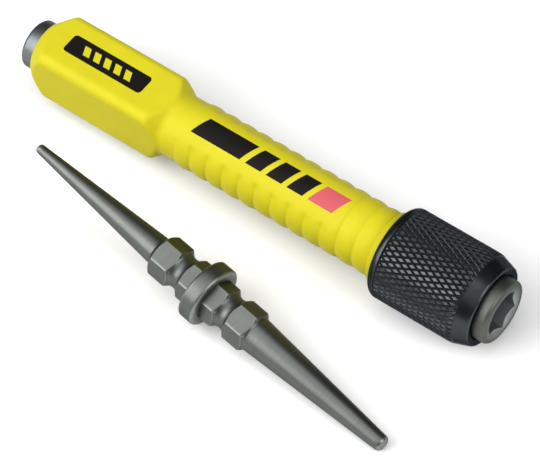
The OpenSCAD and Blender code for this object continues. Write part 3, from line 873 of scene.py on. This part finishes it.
class NAILSETTER_OT_spring(bpy.types.Operator):
    """Wind the return spring at the length of its part; the real spring shortens as the collar is
    pulled forward
    """
    bl_idname = "nailsetter.spring"
    bl_label = "Return spring"

    def execute(self, context):
        mechanism = context.scene.nailsetter_mechanism
        wire_r = in_mm(mechanism, "wire_diameter")[0] / 2
        low, high = corners("return_spring")
        coil_r = high.z - wire_r
        turns = mechanism.spring_turns
        steps = 48 * turns
        rise = high.x - low.x - 2 * wire_r
        bm = bmesh.new()
        upright = Matrix.Rotation(pi / 2, 4, "X")
        bmesh.ops.create_circle(bm, segments=12, radius=wire_r, cap_ends=False,
                                matrix=Matrix.Translation((low.x + wire_r, 0, coil_r)) @ upright)
        bmesh.ops.spin(bm, geom=bm.verts[:] + bm.edges[:], cent=(0, 0, 0), axis=(1, 0, 0),
                       dvec=(rise / steps, 0, 0), angle=2 * pi * turns, steps=steps)
        bmesh.ops.holes_fill(bm, edges=[e for e in bm.edges if e.is_boundary], sides=0)
        wire = bare_steel("Drawn spring wire", mechanism.wire_steel, roughness=0.3, mark_size=0.2)
        spring = finish_piece(bm, "return_spring_wire", "return_spring", wire)
        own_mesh(spring)
        return {"FINISHED"}


class NAILSETTER_OT_mechanism(bpy.types.Operator):
    """Give the release mechanism inside the collar its finishes"""
    bl_idname = "nailsetter.mechanism"
    bl_label = "Release mechanism"

    def execute(self, context):
        mechanism = context.scene.nailsetter_mechanism
        plate = bare_steel("Stamped plate steel", mechanism.plate_steel, roughness=0.4,
                           mark_size=0.5)
        ring = bare_steel("Hardened ring steel", mechanism.wire_steel, roughness=0.3,
                          mark_size=0.2)
        ball = bare_steel("Polished ball steel", mechanism.ball_steel, roughness=0.14,
                          mark_size=0.4)
        finishes = {"collar_end_plate": plate, "collar_circlip": ring,
                    "detent_ball_1": ball, "detent_ball_2": ball}
        for node, material in finishes.items():
            mesh = frame["nodes"][node].data
            mesh.materials.clear()
            mesh.materials.append(material)
        return {"FINISHED"}


class NAILSETTER_OT_stage(bpy.types.Operator):
    """Lay the floor, hang the softboxes and set up the camera"""
    bl_idname = "nailsetter.stage"
    bl_label = "Stage"

    def execute(self, context):
        stage = context.scene.nailsetter_stage
        floor_size, floor_x = 2.5, 0.07
        bm = bmesh.new()
        bmesh.ops.create_grid(bm, x_segments=1, y_segments=1, size=floor_size)
        bmesh.ops.translate(bm, vec=(floor_x, 0, cad_box[0].z), verts=bm.verts)
        mesh = bpy.data.meshes.new("floor")
        bm.to_mesh(mesh)
        bm.free()
        paper = bpy.data.materials.new("Matt white paper")
        paper.use_nodes = True
        tree = paper.node_tree
        shader = tree.nodes["Principled BSDF"]
        # Seen directly, mirrored or through glass the paper is white; it throws back less light
        path = add(tree, "LightPath").outputs
        seen = add(tree, "Math", {0: path["Is Camera Ray"], 1: path["Is Glossy Ray"]},
                   operation="MAXIMUM").outputs[0]
        seen = add(tree, "Math", {0: seen, 1: path["Is Transmission Ray"]},
                   operation="MAXIMUM").outputs[0]
        tone = add(tree, "Mix", {
            FACTOR: seen, COLOUR_A: shade(stage.bounce), COLOUR_B: shade(stage.floor)},
            data_type="RGBA")
        tree.links.new(tone.outputs[COLOUR_OUT], shader.inputs["Base Color"])
        glow = add(tree, "Math", {0: seen, 1: stage.glow}, operation="MULTIPLY")
        tree.links.new(glow.outputs[0], shader.inputs["Emission Strength"])
        shader.inputs["Emission Color"].default_value = (1, 1, 1, 1)
        shader.inputs["Roughness"].default_value = 0.95
        shader.inputs["Specular IOR Level"].default_value = 0.1
        mesh.materials.append(paper)
        floor = bpy.data.objects.new("floor", mesh)
        context.scene.collection.objects.link(floor)

        world = bpy.data.worlds.new("Grey room")
        world.use_nodes = True
        backdrop = world.node_tree.nodes["Background"]
        backdrop.inputs["Color"].default_value = (stage.surround, stage.surround, stage.surround, 1)
        context.scene.world = world

        # Each softbox hangs a metre away, in the direction given, and has a width and a power
        aim = Vector(stage.aim)
        softboxes = (("key", (-0.5, -0.63, 0.59), 0.9, stage.key_power),
                     ("top", (-0.05, -0.08, 0.99), 0.8, stage.top_power),
                     ("side", (0.78, 0.03, 0.62), 0.5, stage.side_power),
                     ("fill", (0.5, -0.45, 0.74), 0.6, stage.fill_power))
        for name, direction, size, power in softboxes:
            lamp = bpy.data.lights.new(name, "AREA")
            lamp.shape = "SQUARE"
            lamp.size = size
            lamp.energy = power
            softbox = bpy.data.objects.new(name, lamp)
            towards = Vector(direction).normalized()
            softbox.location = aim + towards
            softbox.rotation_euler = towards.to_track_quat("Z", "Y").to_euler()
            context.scene.collection.objects.link(softbox)

        # Fitted to the circles and outlines of the holder and the nail set, in a frame 540 by 466
        lens = bpy.data.cameras.new("camera")
        lens.sensor_fit = "HORIZONTAL"
        lens.sensor_width = 36
        lens.lens = stage.camera_lens
        camera = bpy.data.objects.new("camera", lens)
        towards = Vector((sin(stage.camera_turn) * cos(stage.camera_height),
                          -cos(stage.camera_turn) * cos(stage.camera_height),
                          sin(stage.camera_height)))
        camera.location = aim + towards * stage.camera_distance
        roll = Quaternion((0, 0, 1), stage.camera_roll)
        camera.rotation_euler = (towards.to_track_quat("Z", "Y") @ roll).to_euler()
        context.scene.collection.objects.link(camera)
        context.scene.camera = camera
        context.scene.view_settings.view_transform = "Standard"
        return {"FINISHED"}


OPERATORS = (NAILSETTER_OT_grip, NAILSETTER_OT_collar, NAILSETTER_OT_chuck,
             NAILSETTER_OT_strike_bar, NAILSETTER_OT_nail_set, NAILSETTER_OT_spring,
             NAILSETTER_OT_mechanism, NAILSETTER_OT_stage)
SETTINGS = {"nailsetter_grip": NailSetterGrip, "nailsetter_collar": NailSetterCollar,
            "nailsetter_chuck": NailSetterChuck, "nailsetter_set": NailSetterSet,
            "nailsetter_mechanism": NailSetterMechanism, "nailsetter_stage": NailSetterStage}


class NAILSETTER_PT_panel(bpy.types.Panel):
    """Lists the pieces and their settings"""
    bl_idname = "NAILSETTER_PT_panel"
    bl_label = "Nail setter"
    bl_space_type = "VIEW_3D"
    bl_region_type = "UI"
    bl_category = "Nail setter"

    def draw(self, context):
        for operator in OPERATORS:
            self.layout.operator(operator.bl_idname)
        for name in SETTINGS:
            group = getattr(context.scene, name)
            box = self.layout.box()
            for setting in group.__annotations__:
                box.prop(group, setting)


CLASSES = (*SETTINGS.values(), *OPERATORS, NAILSETTER_PT_panel)


def register():
    for cls in CLASSES:
        bpy.utils.register_class(cls)
    for name, cls in SETTINGS.items():
        setattr(bpy.types.Scene, name, PointerProperty(type=cls))


def unregister():
    for name in SETTINGS:
        delattr(bpy.types.Scene, name)
    for cls in reversed(CLASSES):
        bpy.utils.unregister_class(cls)


def main():
    register()
    bpy.ops.nailsetter.grip()
    bpy.ops.nailsetter.collar()
    bpy.ops.nailsetter.chuck()
    bpy.ops.nailsetter.strike_bar()
    bpy.ops.nailsetter.nail_set()
    bpy.ops.nailsetter.spring()
    bpy.ops.nailsetter.mechanism()
    bpy.ops.nailsetter.stage()


if __name__ == "__main__":
    main()
